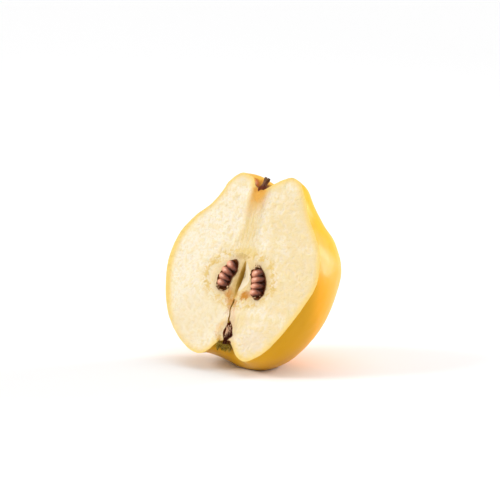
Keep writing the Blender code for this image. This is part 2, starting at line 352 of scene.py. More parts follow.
def skin_finish():
    """Golden, satin skin with faint mottling and pores, russet by the stem, olive by the calyx, and
    painted shade.
    """
    skin = Finish("quince_skin")
    clouds = skin.noise(0.045, 3.0, 0.55)
    mottle = skin.noise(0.35, 3.0, 0.6)
    colour = skin.mix(skin.rise(clouds, 0.35, 0.7) * 0.6, GOLD, DEEP_GOLD)
    colour = skin.mix(skin.rise(mottle, 0.45, 0.8) * 0.3, colour, LEMON)
    belly = skin.rise(skin.z + clouds * 10.0, 68.0, 46.0)
    colour = skin.mix(belly * 0.7, colour, ORANGE_GOLD)
    # Painted shade: olive-gold darkening low down and near the cut, where the skin faces away from
    # the light.
    shade_below = skin.rise(skin.z + skin.y + clouds * 18.0, 54.0, 34.0)
    colour = skin.mix(shade_below * 0.9, colour, OLIVE_GOLD)
    core = (skin.x * skin.x + skin.y * skin.y) ** 0.5
    streaks = skin.noise(1.3, 3.0, 0.65)
    by_stem = skin.rise(skin.z, 60.0, 70.0)
    basin = skin.rise(core + streaks * 6.0, 20.0, 12.0) * by_stem
    colour = skin.mix(basin * 0.85, colour, BASIN_GOLD)
    russet = skin.rise(core + mottle * 12.0, 16.5, 11.5) * by_stem
    colour = skin.mix(russet * 0.55, colour, RUSSET)
    # Painted shade: dark brown deep in the stem's basin, round the stem's foot.
    foot = skin.rise(skin.z, 81.6, 79.4) * basin
    colour = skin.mix(foot * 0.7, colour, BASIN_FLOOR_SHADE)
    front = skin.rise(abs(skin.y - 2.1 + (streaks - 0.5) * 3.0), 1.7, 0.6)
    streak = skin.spot(-5.9, 81.8, 1.1, 3.4, -0.61, (mottle - 0.5) * 1.6) * front
    colour = skin.mix(streak * 0.75, colour, RUSSET_STREAK)
    # Painted shadow: a dark brown crescent on the basin's wall beside the stem's foot.
    aside = (skin.x + 0.8) / 3.8
    behind = (skin.y - 4.5) / 5.0
    by_foot = (aside * aside + behind * behind) ** 0.5
    shadow_crescent = skin.rise(by_foot + mottle * 0.6, 1.5, 0.9) * by_stem
    colour = skin.mix(shadow_crescent * 0.8, colour, CRESCENT_SHADOW_BROWN)
    at_calyx = skin.rise(core + streaks * 5.0, 11.0, 5.0) * skin.rise(skin.z, 12.0, 4.0)
    colour = skin.mix(at_calyx * 0.5, colour, CALYX_OLIVE)
    pores = skin.node("ShaderNodeTexVoronoi", None, {"Vector": skin.place, "Scale": 0.42})
    freckles = skin.rise(pores, 0.1, 0.04)
    colour = skin.mix(freckles * 0.4, colour, FRECKLE_TAN)
    texture = skin.noise(2.4, 3.0, 0.6) * 0.6 + mottle * 0.4 - freckles * 0.3
    return skin.surface(
        Base_Color=colour,
        Roughness=0.31 + mottle * 0.06,
        Subsurface_Weight=0.05,
        Subsurface_Radius=(0.004, 0.002, 0.0006),
        Subsurface_Scale=1.0,
        Specular_IOR_Level=0.16,
        Normal=skin.bump(texture, 0.02),
    )


CREAM = paint(254, 242, 218)
WARM_CREAM = paint(244, 223, 178)
GREY_CREAM = paint(242, 224, 200)
STRAW = paint(240, 210, 134)
PEEL_YELLOW = paint(250, 214, 116)
AMBER = paint(230, 154, 42)
CARAMEL = paint(206, 134, 14)
HONEY = paint(244, 176, 60)
APRICOT = paint(242, 196, 112)
TAN = paint(206, 168, 92)
BROWNING = paint(150, 92, 48)
LUMP_YELLOW = paint(246, 222, 160)
FIBRE_GOLD = paint(230, 192, 98)
CORE_YELLOW = paint(234, 202, 130)
CHANNEL_YELLOW = paint(244, 212, 136)
HALO_TAN = paint(222, 192, 150)

# Oval of the core on the cut face: its middle (x, z) and half sizes
CORE_MIDDLE = (-0.6, 33.0)
CORE_HALF = (20.5, 13.6)

# Stains of the flesh: middle (x, z), half sizes, how far x leans as z rises, how ragged, how
# strong, colour
STAINS = (
    (-4.6, 25.0, 4.4, 5.6, -0.5, 1.6, 0.95, CARAMEL),
    (5.6, 25.4, 4.8, 3.4, 0.6, 1.6, 1.0, CARAMEL),
    (-1.9, 22.0, 3.4, 8.0, 0.1, 1.6, 0.75, CARAMEL),
    (-4.6, 9.2, 3.0, 5.0, 0.45, 1.4, 0.45, DEEP_GOLD),
    (-1.7, 33.0, 3.4, 12.0, 0.11, 1.0, 0.95, TAN),
    (0.6, 12.0, 3.4, 9.0, 0.0, 1.6, 0.35, AMBER),
    (5.0, 12.0, 5.0, 8.0, 0.0, 1.6, 0.35, STRAW),
    (-0.5, 46.4, 9.0, 4.2, 0.2, 1.6, 0.75, STRAW),
    (-2.4, 56.0, 5.0, 9.0, 0.1, 1.2, 0.5, STRAW),
    (-4.6, 5.0, 2.6, 3.4, 0.2, 2.0, 0.4, OLIVE_GOLD),
    (15.0, 4.0, 11.0, 9.0, 0.0, 1.0, 0.5, GREY_CREAM),
    (-3.0, 43.9, 5.0, 1.8, 0.1, 1.6, 0.7, TAN),
    (-2.2, 75.4, 5.6, 15.0, 0.2, 0.8, 0.7, APRICOT),
    (-1.6, 75.8, 5.0, 6.6, 0.2, 0.6, 0.85, HONEY),
    (-2.4, 77.8, 4.2, 2.0, 0.0, 0.6, 0.7, AMBER),
    (-3.4, 2.2, 2.2, 3.4, -0.3, 1.6, 0.8, OLIVE_GOLD),
    (-22.0, 10.0, 22.0, 20.0, 0.4, 1.0, 0.5, WARM_CREAM),
)


def flesh_finish():
    """Moist cream flesh: soft grit, fibres round the core, stains and a yellow edge."""
    flesh = Finish("quince_flesh")
    grit = flesh.noise(1.7, 3.0, 0.7)
    specks = flesh.noise(0.75, 4.0, 0.75)
    lumps = flesh.noise(0.36, 2.0, 0.6)
    patches = flesh.noise(0.09, 3.0, 0.6)
    across = flesh.x - CORE_MIDDLE[0]
    along = flesh.z - CORE_MIDDLE[1]
    angle = across.math("ARCTAN2", across, along)
    ring = ((across / CORE_HALF[0]) ** 2.0 + (along / CORE_HALF[1]) ** 2.0) ** 0.5
    fibres = flesh.noise(1.0, 4.0, 0.7, flesh.vector(angle * 7.0, ring * 6.0, 0.0), 0.6)
    grain = flesh.noise(1.0, 4.0, 0.7, flesh.vector(flesh.x * 1.1, 0.0, flesh.z * 0.16))
    wobble = specks + lumps - 1.0

    # Warm patches of the flesh, with painted shade making it warmer and darker towards the right.
    warm_and_shaded = flesh.rise(patches + flesh.x * 0.006, 0.36, 0.7)
    colour = flesh.mix(warm_and_shaded, CREAM, WARM_CREAM)
    colour = flesh.mix(flesh.rise(lumps, 0.42, 0.66) * 0.55, colour, LUMP_YELLOW)
    colour = flesh.mix(flesh.rise(specks, 0.48, 0.66) * 0.45, colour, STRAW)
    colour = flesh.mix(flesh.rise(lumps + grit * 0.3, 0.62, 0.4) * 0.5, colour, GREY_CREAM)
    outline = flesh.rise(abs(ring + wobble * 0.5 - 1.0), 0.22, 0.0)
    bundles = outline * flesh.rise(fibres + lumps - 0.5, 0.34, 0.6)
    colour = flesh.mix(bundles * 0.85, colour, FIBRE_GOLD)
    inside = flesh.rise(ring + wobble * 0.4, 1.05, 0.6)
    colour = flesh.mix(inside * 0.72, colour, CORE_YELLOW)

    up = flesh.rise(flesh.z, 42.0, 56.0)
    left = -5.9 - flesh.rise(flesh.z, 60.0, 46.0) * 4.5
    from_left = flesh.rise(flesh.x - left, -2.0, 2.0)
    channel = from_left * flesh.rise(flesh.x - grain * 7.0, 3.0, -3.5) * up
    colour = flesh.mix(channel * flesh.rise(grain, 0.6, 0.4) * 0.7, colour, CHANNEL_YELLOW)
    top = flesh.rise(flesh.z + grain * 16.0, 70.0, 88.0)
    colour = flesh.mix(channel * top * 0.8, colour, AMBER)

    rim = flesh.attribute("rim")
    broader = flesh.rise(flesh.x, -30.0, -42.0) * 1.4
    yellow = flesh.rise(rim + specks * 1.6 + lumps * 1.2 - broader, 6.2, 1.4) ** 1.6
    colour = flesh.mix(yellow * 0.95, colour, PEEL_YELLOW)
    for x, z, half_x, half_z, lean, ragged, share, tone in STAINS:
        stain = flesh.spot(x, z, half_x, half_z, lean, wobble * ragged)
        colour = flesh.mix(stain * share, colour, tone)
    hollow = flesh.attribute("hollow")
    halo = flesh.rise(hollow + wobble * 3.0, 3.4, 0.6)
    colour = flesh.mix(halo * 0.45, colour, HALO_TAN)
    lips = flesh.rise(hollow + grit * 1.2, 1.2, 0.45)
    colour = flesh.mix(lips * 0.6, colour, BROWNING)

    texture = grit * 0.4 + specks * 0.5 + lumps * 0.9 + grain * channel * 0.7
    return flesh.surface(
        Base_Color=colour,
        Roughness=0.4 + grit * 0.2,
        Subsurface_Weight=0.12,
        Subsurface_Radius=(0.0025, 0.0014, 0.0007),
        Subsurface_Scale=1.0,
        Specular_IOR_Level=0.4,
        Normal=flesh.bump(texture, 1.0),
    )


def wall_finish(name, deep, lit, depth, roughness=0.55):
    """Wall of a hollow, streaked: lit colour by the cut face, with painted shade darkening it to
    the deep colour further within.
    """
    wall = Finish(name)
    streaks = wall.noise(0.9, 3.0, 0.65, wall.vector(wall.x * 1.2, wall.y * 0.6, wall.z * 0.35))
    # Painted shade: darker towards the deep colour further into the hollow.
    colour = wall.mix(wall.rise(wall.y + streaks * depth * 0.5, 0.2, depth), lit, deep)
    colour = wall.mix(wall.rise(streaks, 0.5, 0.75) * 0.5, colour, deep)
    return wall.surface(
        Base_Color=colour,
        Roughness=roughness,
        Subsurface_Weight=0.1,
        Subsurface_Radius=(0.002, 0.001, 0.0005),
        Subsurface_Scale=1.0,
        Specular_IOR_Level=0.12,
        Normal=wall.bump(streaks, 0.15),
    )


BODY_FINISHES = (
    skin_finish(),
    flesh_finish(),
    wall_finish("seed_chamber_wall", paint(160, 84, 30), paint(176, 108, 56), 2.6),
    wall_finish("carpel_wall", paint(220, 200, 160), paint(238, 224, 196), 2.6, 0.4),
    wall_finish("core_slit_wall", paint(154, 112, 26), paint(222, 182, 98), 1.9),
    wall_finish("calyx_tube_wall", paint(96, 30, 4), paint(140, 72, 24), 1.2),
)
SKIN, FLESH, CHAMBER, CARPEL, SLIT, TUBE = range(len(BODY_FINISHES))


def dress(thing):
    """Give a mesh all the body's finishes, in the order of their slot numbers."""
    for finish in BODY_FINISHES:
        thing.data.materials.append(finish)


def whole_fruit():
    """Closed skin of the uncut fruit: the back profiles and their mirror image in front."""
    points = profiles.copy()
    for column in points[:, 1:-1]:
        for point in column:
            away = (Vector(point) - BELLY_MIDDLE).normalized()
            from_core = math.hypot(point[0], point[1])
            swell = min(1.0, from_core / SMOOTH_NEAR_CORE) * LUMP_HEIGHT
            lump = wander(point, LUMP_SPAN) + FINE_LUMP_SHARE * wander(point, LUMP_SPAN / 3, 7.0)
            point += np.array(away) * swell * lump
    points[0, :, 1] = 0.0
    points[-1, :, 1] = 0.0
    front = points[-2:0:-1] * (1.0, -1.0, 1.0)
    rounds = np.concatenate((points, front))
    columns, rows = rounds.shape[0], rounds.shape[1] - 2
    calyx_pole = columns * rows
    stem_pole = calyx_pole + 1
    faces = []
    for column in range(columns):
        here = column * rows
        beside = (column + 1) % columns * rows
        faces.append((calyx_pole, here, beside))
        faces.append((stem_pole, beside + rows - 1, here + rows - 1))
        for low in range(rows - 1):
            faces.append((here + low, here + low + 1, beside + low + 1, beside + low))
    flat = np.concatenate((rounds[:, 1:-1].reshape(-1, 3), (profiles[0, 0],), (profiles[0, -1],)))
    fruit = thing_from("fruit", flat, faces, [SKIN] * len(faces))
    face_outwards(fruit.data)
    return fruit


def face_outwards(mesh):
    """Turn every face of a closed mesh to look out of it."""
    bm = bmesh.new()
    bm.from_mesh(mesh)
    bmesh.ops.recalc_face_normals(bm, faces=bm.faces)
    bm.to_mesh(mesh)
    bm.free()


KNIFE_SPACING = 0.45
KNIFE_LOW = (-50.0, -12.0)
KNIFE_HIGH = (50.0, 92.0)
KNIFE_BEHIND = 60.0
WAVE_HEIGHT = 0.12
GRIT_HEIGHT = 0.13
CORE_SUNK = 0.22
FACE_BEHIND = 0.05

# Channel from the core up to the stem, each at a height: its left edge, its depth, and the
# height of the fold along that edge
CHANNEL_LEFT = ((44.0, -11.4), (47.4, -10.4), (51.7, -8.1), (55.8, -7.0), (61.9, -5.8),
                (69.5, -5.6), (80.0, -5.0))
CHANNEL_DEPTH = ((44.0, 0.0), (50.0, 0.22), (60.0, 0.34), (70.0, 0.34), (78.0, 0.3), (84.0, 0.2))
FOLD_HEIGHT = ((48.0, 0.0), (60.0, 0.12), (80.0, 0.18))
FOLD_WIDTH = 1.5


def ease(value):
    """Smooth step from 0 to 1, level beyond."""
    share = np.clip(value, 0.0, 1.0)
    return share * share * (3 - 2 * share)


def cut_face_depth(x, z):
    """How far behind Y = 0 the cut face lies: knife waves, grit, and the stem's channel."""
    count = x.size
    waves = np.empty(count)
    grit = np.empty(count)
    strands = np.empty(count)
    for index, (px, pz) in enumerate(zip(x.ravel(), z.ravel())):
        waves[index] = wander((px, 0.0, pz * 0.6), 15.0)
        grit[index] = wander((px, 3.0, pz), 1.9) + 0.5 * wander((px, 9.0, pz), 1.0)
        strands[index] = wander((px, 5.0, pz * 0.12), 1.1)
    waves, grit, strands = (part.reshape(x.shape) for part in (waves, grit, strands))
    left, deepest, fold = (
        np.interp(z, *zip(*table)) for table in (CHANNEL_LEFT, CHANNEL_DEPTH, FOLD_HEIGHT))
    channel = ease((x - left) / 2.4) * ease((3.6 - x) / 5.5) * deepest
    fold = np.exp(-((x - left + 1.0) / FOLD_WIDTH) ** 2) * fold
    ring = np.hypot((x - CORE_MIDDLE[0]) / CORE_HALF[0], (z - CORE_MIDDLE[1]) / CORE_HALF[1])
    core = CORE_SUNK * ease((1.02 - ring) / 0.18)
    return (WAVE_HEIGHT * waves + GRIT_HEIGHT * grit + channel * (1 + 0.5 * strands) - fold
            + core + FACE_BEHIND)


def knife_slab():
    """Closed slab behind the cut: its front is the uneven face that the knife leaves."""
    across = np.arange(KNIFE_LOW[0], KNIFE_HIGH[0] + KNIFE_SPACING, KNIFE_SPACING)
    along = np.arange(KNIFE_LOW[1], KNIFE_HIGH[1] + KNIFE_SPACING, KNIFE_SPACING)
    x, z = np.meshgrid(across, along, indexing="ij")
    front = np.stack((x, cut_face_depth(x, z), z), axis=2)
    columns, rows = x.shape
    number = np.arange(columns * rows).reshape(columns, rows)
    faces = [
        (number[i, k], number[i + 1, k], number[i + 1, k + 1], number[i, k + 1])
        for i in range(columns - 1) for k in range(rows - 1)
    ]
    corners = [(across[i], KNIFE_BEHIND, along[k]) for i, k in ((0, 0), (-1, 0), (-1, -1), (0, -1))]
    a, b, c, d = (columns * rows + corner for corner in range(4))
    faces += [
        (a, b, *number[::-1, 0]), (b, c, *number[-1, ::-1]),
        (c, d, *number[:, -1]), (d, a, *number[0, :]), (a, d, c, b),
    ]
    faces = [tuple(int(n) for n in face) for face in faces]
    points = np.concatenate((front.reshape(-1, 3), corners))
    slab = thing_from("knife_slab", points, faces, [FLESH] * len(faces))
    face_outwards(slab.data)
    return slab


# Hollows of the core: how their walls draw in, how deep they are and where, and their edges
# on the cut face, each (x, z)
ROUND = (0.8, 1.0)
SLOPING = (2.0, 2.0)
HOLLOWS = {
    "chamber_left": (CHAMBER, ROUND, 5.0, (-8.6, 34.2), (
        (-7.7, 41.6), (-4.8, 42.0), (-3.3, 39.0), (-3.5, 35.4), (-5.1, 33.0), (-5.5, 30.3),
        (-7.5, 26.6), (-11.1, 26.2), (-13.0, 28.2), (-13.4, 31.1), (-12.6, 34.9), (-10.4, 38.8))),
    "chamber_right": (CHAMBER, ROUND, 5.0, (10.6, 32.4), (
        (8.2, 40.9), (10.4, 39.6), (12.9, 37.0), (14.5, 34.2), (15.3, 31.0), (15.3, 27.7),
        (14.0, 25.2), (11.9, 24.0), (9.0, 25.3), (7.3, 28.6), (6.0, 33.8), (5.2, 36.6),
        (6.2, 39.0))),
    "carpel": (CARPEL, SLOPING, 2.0, (1.0, 35.0), (
        (0.8, 42.6), (2.2, 41.6), (4.0, 38.6), (5.1, 35.6), (5.5, 32.2), (4.4, 29.6),
        (2.4, 27.2), (0.6, 25.6), (-0.6, 27.0), (-0.2, 35.0))),
    "slit": (SLIT, SLOPING, 2.4, (0.2, 34.6), (
        (-0.1, 42.9), (0.9, 42.7), (1.3, 39.6), (1.3, 35.8), (1.0, 31.6), (0.5, 28.7), (0.0, 26.0),
        (-0.4, 22.6), (-1.3, 22.2), (-1.9, 25.3), (-2.1, 28.7), (-1.9, 33.2), (-1.3, 37.5))),
    "slit_tail": (SLIT, ROUND, 1.6, (-1.2, 19.6), (
        (-0.7, 23.0), (-0.6, 20.6), (-1.3, 17.6), (-0.7, 14.8), (-0.5, 12.4), (-0.5, 10.6),
        (-1.1, 10.8), (-1.5, 12.6), (-1.5, 15.0), (-2.0, 17.8), (-1.5, 20.4), (-1.3, 22.8))),
    "calyx_tube": (TUBE, ROUND, 2.6, (0.2, 5.4), (
        (-0.3, 12.2), (1.0, 10.8), (2.2, 9.0), (2.8, 6.8), (3.4, 5.2), (1.8, 3.4), (0.6, 1.8),
        (0.0, -0.6), (-1.4, -0.4), (-1.2, 2.6), (-2.1, 4.9), (-2.4, 6.6), (-1.8, 8.6),
        (-1.2, 10.6))),
    "calyx_pocket": (TUBE, ROUND, 1.6, (2.3, 0.8), (
        (1.1, 2.4), (2.2, 2.6), (3.2, 2.2), (3.5, 0.6), (3.0, -1.4), (2.0, -1.6), (1.4, 0.4))),
}
EDGE_STEPS = 8
BOWL_RINGS = 9
BOWL_LID = (1.02, 2.0)
BOWL_RAGGED = 0.12


def closed_curve(points, steps):
    """Smooth closed curve through points on the cut face, as an array of (x, z)."""
    count = len(points)
    ring = np.array(points)
    curve = []
    for here in range(count):
        a, b, c, d = (ring[(here + k) % count] for k in (-1, 0, 1, 2))
        for step in range(steps):
            curve.append(between_ribs(a, b, c, d, step / steps))
    return np.array(curve)


def draw_in(walls, share):
    """How wide a hollow still is, and what part of its depth is reached, share of the way in."""
    return math.cos(share * math.pi / 2) ** walls[0], math.sin(share * math.pi / 2) ** walls[1]


def bowl(name):
    """Closed cutter for a hollow: a lid in front of the cut face, then walls that draw in."""
    slot, walls, depth, deepest, edge = HOLLOWS[name]
    rim = closed_curve(edge, EDGE_STEPS)
    middle = np.array(deepest)
    count = len(rim)
    points = []
    for x, z in middle + (rim - middle) * BOWL_LID[0]:
        points.append((x, -BOWL_LID[1], z))
    for ring in range(BOWL_RINGS):
        width, sunk = draw_in(walls, ring / BOWL_RINGS)
        for x, z in middle + (rim - middle) * width:
            shake = BOWL_RAGGED * wander((x, sunk, z), 0.8, 3.0)
            points.append((x + shake, sunk * depth + shake, z - shake))
    points.append((middle[0], depth, middle[1]))
    last = BOWL_RINGS * count
    faces = [tuple(range(count))] + ring_faces(BOWL_RINGS + 1, count)
    faces += [(last + k, last + (k + 1) % count, last + count) for k in range(count)]
    cutter = thing_from(name, points, faces, [slot] * len(faces))
    face_outwards(cutter.data)
    return cutter


def border_points(mesh, inner, outer):
    """Middles of the edges between faces of one slot and of any of the others."""
    slots = {}
    for polygon in mesh.polygons:
        for key in polygon.edge_keys:
            slots.setdefault(key, set()).add(polygon.material_index)
    found = []
    for (a, b), sides in slots.items():
        if inner in sides and sides & set(outer):
            found.append((mesh.vertices[a].co + mesh.vertices[b].co) / 2)
    return found


def mark_distance(mesh, name, border):
    """Store at each vertex how many millimetres away the border is."""
    tree = kdtree.KDTree(len(border))
    for index, point in enumerate(border):
        tree.insert(point, index)
    tree.balance()
    layer = mesh.attributes.new(name, "FLOAT", "POINT")
    layer.data.foreach_set("value", [tree.find(vertex.co)[2] for vertex in mesh.vertices])


def crisp_borders(mesh):
    """Keep the edges crisp where skin, flesh and hollows meet."""
    bm = bmesh.new()
    bm.from_mesh(mesh)
    for edge in bm.edges:
        if len({face.material_index for face in edge.link_faces}) > 1:
            edge.smooth = False
    bm.to_mesh(mesh)
    bm.free()


def half_fruit():
    """The whole fruit, pared to a half and hollowed, with its borders marked for the finishes."""
    fruit = whole_fruit()
    dress(fruit)
    cutters = [(knife_slab(), "INTERSECT")]
    cutters += [(bowl(name), "DIFFERENCE") for name in HOLLOWS]
    for cutter, operation in cutters:
        dress(cutter)
        cut(fruit, cutter, operation)
    mesh = fruit.data
    mark_distance(mesh, "rim", border_points(mesh, FLESH, (SKIN,)))
    mark_distance(mesh, "hollow", border_points(mesh, FLESH, (CHAMBER, TUBE)))
    mesh.shade_smooth()
    crisp_borders(mesh)
    settle(fruit)
    for vertex in mesh.vertices:
        vertex.co.z = max(vertex.co.z, 0.0)
    mesh.update()
    return fruit


fruit = half_fruit()
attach(fruit, "root")
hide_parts("fruit_half")


# ---- Seeds
# Two stacks of brown pips, packed one above the other in the chambers of the core. Each pip is
# a plump drop with a smooth, faintly glossy coat, blunt at its outer end, and is laid across
# its chamber; a second row lies behind, in the gaps of the first.

# Middles (x, z) of a stack's pips: first + step * place + bend * place ** 2, and how each lies
SEED_ROWS = {
    "left": {"first": (-7.3, 38.9), "step": (-2.4, -3.0), "bend": (0.47, 0.0),
             "tilt": 30.0, "tilt_step": -5.5},
    "right": {"first": (8.7, 37.1), "step": (1.0, -3.2), "bend": (-0.2, 0.0),
              "tilt": -20.0, "tilt_step": 6.0},
}
FRONT_SEEDS = (0.0, 1.0, 2.0, 3.0)
BACK_SEEDS = (0.5, 1.5, 2.5)
FRONT_DEPTH = 1.2
BACK_DEPTH = 3.2
BACK_SEED_SHORTER = 1.0
SEED_LENGTHS = (7.4, 8.0, 7.3, 6.7)
SEED_THICKNESSES = (4.5, 3.9, 3.8, 4.1)
SEED_WIDTH = 3.8
SEED_TAPER = 0.12
SEED_TIP_PINCH = 0.12
SEED_SQUARENESS = 2.6
SEED_ROUND_SHARE = 0.55
ROSY_HIGHLIGHT_BROWN = paint(234, 166, 130)
SEED_BROWN = paint(162, 88, 58)
SEAM_SHADE_BROWN = paint(80, 32, 4)
DEEP_SHADE_BROWN = paint(70, 28, 4)


def seed_finish():
    """Red-brown coat with a painted rosy highlight where each pip swells out, and painted shade
    near black in the seams between pips, towards each tip and deeper in the chamber.
    """
    coat = Finish("seed_coat")
    seam = coat.attribute("seam")
    cloud = coat.noise(0.9, 3.0, 0.6)
    # Painted highlight rosy where a pip swells out; painted shade on its flanks and towards its
    # tip.
    shade = seam + (cloud - 0.5) * 0.6 + coat.rise(coat.attribute("along"), -0.6, 0.9) * 0.75
    colour = coat.mix(coat.rise(shade, -0.05, 0.6), ROSY_HIGHLIGHT_BROWN, SEED_BROWN)
    colour = coat.mix(coat.rise(shade, 0.45, 0.95), colour, SEAM_SHADE_BROWN)
    # Painted shade: darker deeper in the chamber, on the back row.
    deep = coat.rise(coat.y, 0.4, 2.6)
    colour = coat.mix(deep * 0.85, colour, DEEP_SHADE_BROWN)
    fine = coat.noise(3.2, 2.0, 0.5)
    return coat.surface(
        Base_Color=colour,
        Roughness=0.32 + cloud * 0.15,
        Specular_IOR_Level=0.36,
        Coat_Roughness=0.3,
        Coat_Weight=0.35,
        Normal=coat.bump(fine * 0.4 + cloud * 0.6, 0.12),
    )


def thing_of(name, bm):
    """Object made of a bmesh, which is then freed."""
    mesh = bpy.data.meshes.new(name)
    bm.to_mesh(mesh)
    bm.free()
    return add(name, mesh)


def seed_shape():
    """One pip of unit size along X: a drop with a blunt end at -X and flattened flanks."""
    bm = bmesh.new()
    bmesh.ops.create_uvsphere(bm, u_segments=28, v_segments=20, radius=1.0)
    seam = bm.verts.layers.float.new("seam")
    length_along = bm.verts.layers.float.new("along")
    for vert in bm.verts:
        across, deep, along = vert.co
        girth = 1.0 - SEED_TAPER * along - SEED_TIP_PINCH * max(0.0, along) ** 3
        powers = abs(across) ** SEED_SQUARENESS + abs(deep) ** SEED_SQUARENESS
        squared = 1.0 / max(powers, 1e-6) ** (1 / SEED_SQUARENESS)
        plain = math.hypot(across, deep)
        radius = plain * (SEED_ROUND_SHARE + (1 - SEED_ROUND_SHARE) * squared * plain) * girth
        angle = math.atan2(across, deep)
        vert.co = Vector((along, math.cos(angle) * radius, math.sin(angle) * radius)) / 2
        # How far out on its flank each point is, for the coat's painted shade.
        vert[seam] = abs(across) ** 2
        vert[length_along] = along
    bmesh.ops.recalc_face_normals(bm, faces=bm.faces)
    shape = thing_of("seed_shape", bm)
    shape.data.shade_smooth()
    return shape


def new_tree(name, inputs):
    """Empty Geometry Nodes tree with named inputs, each (name, kind): its graph and the links."""
    tree = bpy.data.node_groups.new(name, "GeometryNodeTree")
    face = tree.interface
    face.new_socket("Geometry", in_out="OUTPUT", socket_type="NodeSocketGeometry")
    for label, kind in inputs:
        face.new_socket(label, in_out="INPUT", socket_type="NodeSocket" + kind)
    graph = Graph(tree)
    given = tree.nodes.new("NodeGroupInput")
    return graph, [Link(graph, socket) for socket in list(given.outputs)[:len(inputs)]]


def end_tree(graph, copies, finish):
    """Make copies real, give them their finish, and send them out of the tree."""
    real = graph.node("GeometryNodeRealizeInstances", None, {"Geometry": copies})
    coated = graph.node("GeometryNodeSetMaterial", None, {"Geometry": real, "Material": finish})
    graph.node("NodeGroupOutput", None, {"Geometry": coated})
    return graph.tree


def grow(thing, tree, values):
    """Run a tree on a thing with the given values of its inputs, and keep the result."""
    modifier = thing.modifiers.new(tree.name, "NODES")
    modifier.node_group = tree
    for item in tree.interface.items_tree:
        if item.name in values:
            modifier[item.identifier] = values[item.name]
    keep_result(thing)


def scatter_tree():
    """Geometry Nodes that set a shape on each point, turned and sized by its attributes."""
    graph, (points, shape, scale, finish) = new_tree("set_on_points", (
        ("Points", "Geometry"), ("Shape", "Object"), ("Scale", "Float"), ("Finish", "Material")))
    turn, size = (
        graph.node("GeometryNodeInputNamedAttribute", {"data_type": "FLOAT_VECTOR"}, {"Name": name})
        for name in ("turn", "size"))
    sized = graph.node("ShaderNodeVectorMath", {"operation": "SCALE"}, {
        "Vector": size, "Scale": scale})
    copies = graph.node("GeometryNodeInstanceOnPoints", None, {
        "Points": points,
        "Instance": graph.node("GeometryNodeObjectInfo", None, {"Object": shape}, "Geometry"),
        "Rotation": graph.node("FunctionNodeEulerToRotation", None, {0: turn}),
        "Scale": sized,
    })
    return end_tree(graph, copies, finish)


set_on_points = scatter_tree()


def scatter(name, places, turns, sizes, shape, finish):
    """Copies of a shape at places, as one plain mesh object in the fruit's frame."""
    thing = thing_from(name, places, [])
    for layer_name, values in (("turn", turns), ("size", sizes)):
        layer = thing.data.attributes.new(layer_name, "FLOAT_VECTOR", "POINT")
        layer.data.foreach_set("vector", np.array(values, np.float32).ravel())
    grow(thing, set_on_points, {"Shape": shape, "Scale": 1.0, "Finish": finish})
    return thing


def seed_stack(side, shape, finish):
    """The two rows of pips in one chamber, counted from its top."""
    row = SEED_ROWS[side]
    places, turns, sizes = [], [], []
    for seeds, depth, shorter in (
            (FRONT_SEEDS, FRONT_DEPTH, 0.0), (BACK_SEEDS, BACK_DEPTH, BACK_SEED_SHORTER)):
        for place in seeds:
            x, z = (row["first"][k] + row["step"][k] * place + row["bend"][k] * place ** 2
                    for k in (0, 1))
            places.append((x, depth, z))
            turns.append((0.0, math.radians(row["tilt"] + row["tilt_step"] * place), 0.0))
            length = SEED_LENGTHS[int(place)] - shorter
            sizes.append((length, SEED_WIDTH, SEED_THICKNESSES[int(place)]))
    stack = scatter("seeds_in_" + side + "_chamber", places, turns, sizes, shape, finish)
    settle(stack)
    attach(stack, "root")
    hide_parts("seeds_" + side)


pip = seed_shape()
coat = seed_finish()
for side in SEED_ROWS:
    seed_stack(side, pip, coat)
bpy.data.objects.remove(pip, do_unlink=True)


# ---- Linings of the seed chambers
# The carpels' thin, tough, papery walls. They line the two chambers, are torn along the cut into
# a dark ragged lip, and leave pale curled flakes at the foot of each chamber.

# Rings of a lining, from its lip inwards: how far into the chamber each one is
LINING_SHARES = (0.0, 0.0, 0.08, 0.2, 0.35, 0.5, 0.65)
LINING_WIDTH = 0.975
LINING_THICKNESS = 0.16
LINING_SUNK = 0.1
LIP_HEIGHT = 0.55
LIP_FLARE = 0.05
PARCHMENT = paint(190, 118, 64)
LIP_BROWN = paint(92, 44, 10)
STREAK_BROWN = paint(112, 56, 18)
FLAKE_PALE = paint(226, 196, 150)
FLAKE_TAN = paint(170, 122, 78)

# Runs of a chamber's edge that carry flakes: from and to, in degrees round its middle, how
# many, and how large
FLAKE_RUNS = (
    ("chamber_left", 225.0, 295.0, 12, 1.1),
    ("chamber_right", 235.0, 300.0, 9, 0.9),
    ("chamber_right", 100.0, 128.0, 5, 1.9),
)
FLAKE_SEED = 11
FLAKE_POINTS = 5
FLAKE_THICKNESS = 0.08


def lining_finish():
    """Tan parchment, dark brown along the torn lip."""
    paper = Finish("chamber_lining")
    streaks = paper.noise(1.2, 3.0, 0.7)
    colour = paper.mix(paper.rise(paper.y + streaks * 0.8, 0.1, 1.1), LIP_BROWN, PARCHMENT)
    colour = paper.mix(paper.rise(streaks, 0.5, 0.72) * 0.6, colour, STREAK_BROWN)
    return paper.surface(
        Base_Color=colour, Roughness=0.45, Specular_IOR_Level=0.15, Normal=paper.bump(streaks, 0.2))


def give_wall(sheet, thickness, offset=-1.0):
    """Turn a sheet into a closed wall of some thickness."""
    wall = sheet.modifiers.new("wall", "SOLIDIFY")
    wall.thickness = thickness
    wall.offset = offset
    keep_result(sheet)
    return sheet


def grid_faces(rows, columns):
    """Four-sided faces of a sheet whose points lie in rows, one row after the other."""
    corners = [row * columns + column for row in range(rows - 1) for column in range(columns - 1)]
    return [(a, a + 1, a + columns + 1, a + columns) for a in corners]


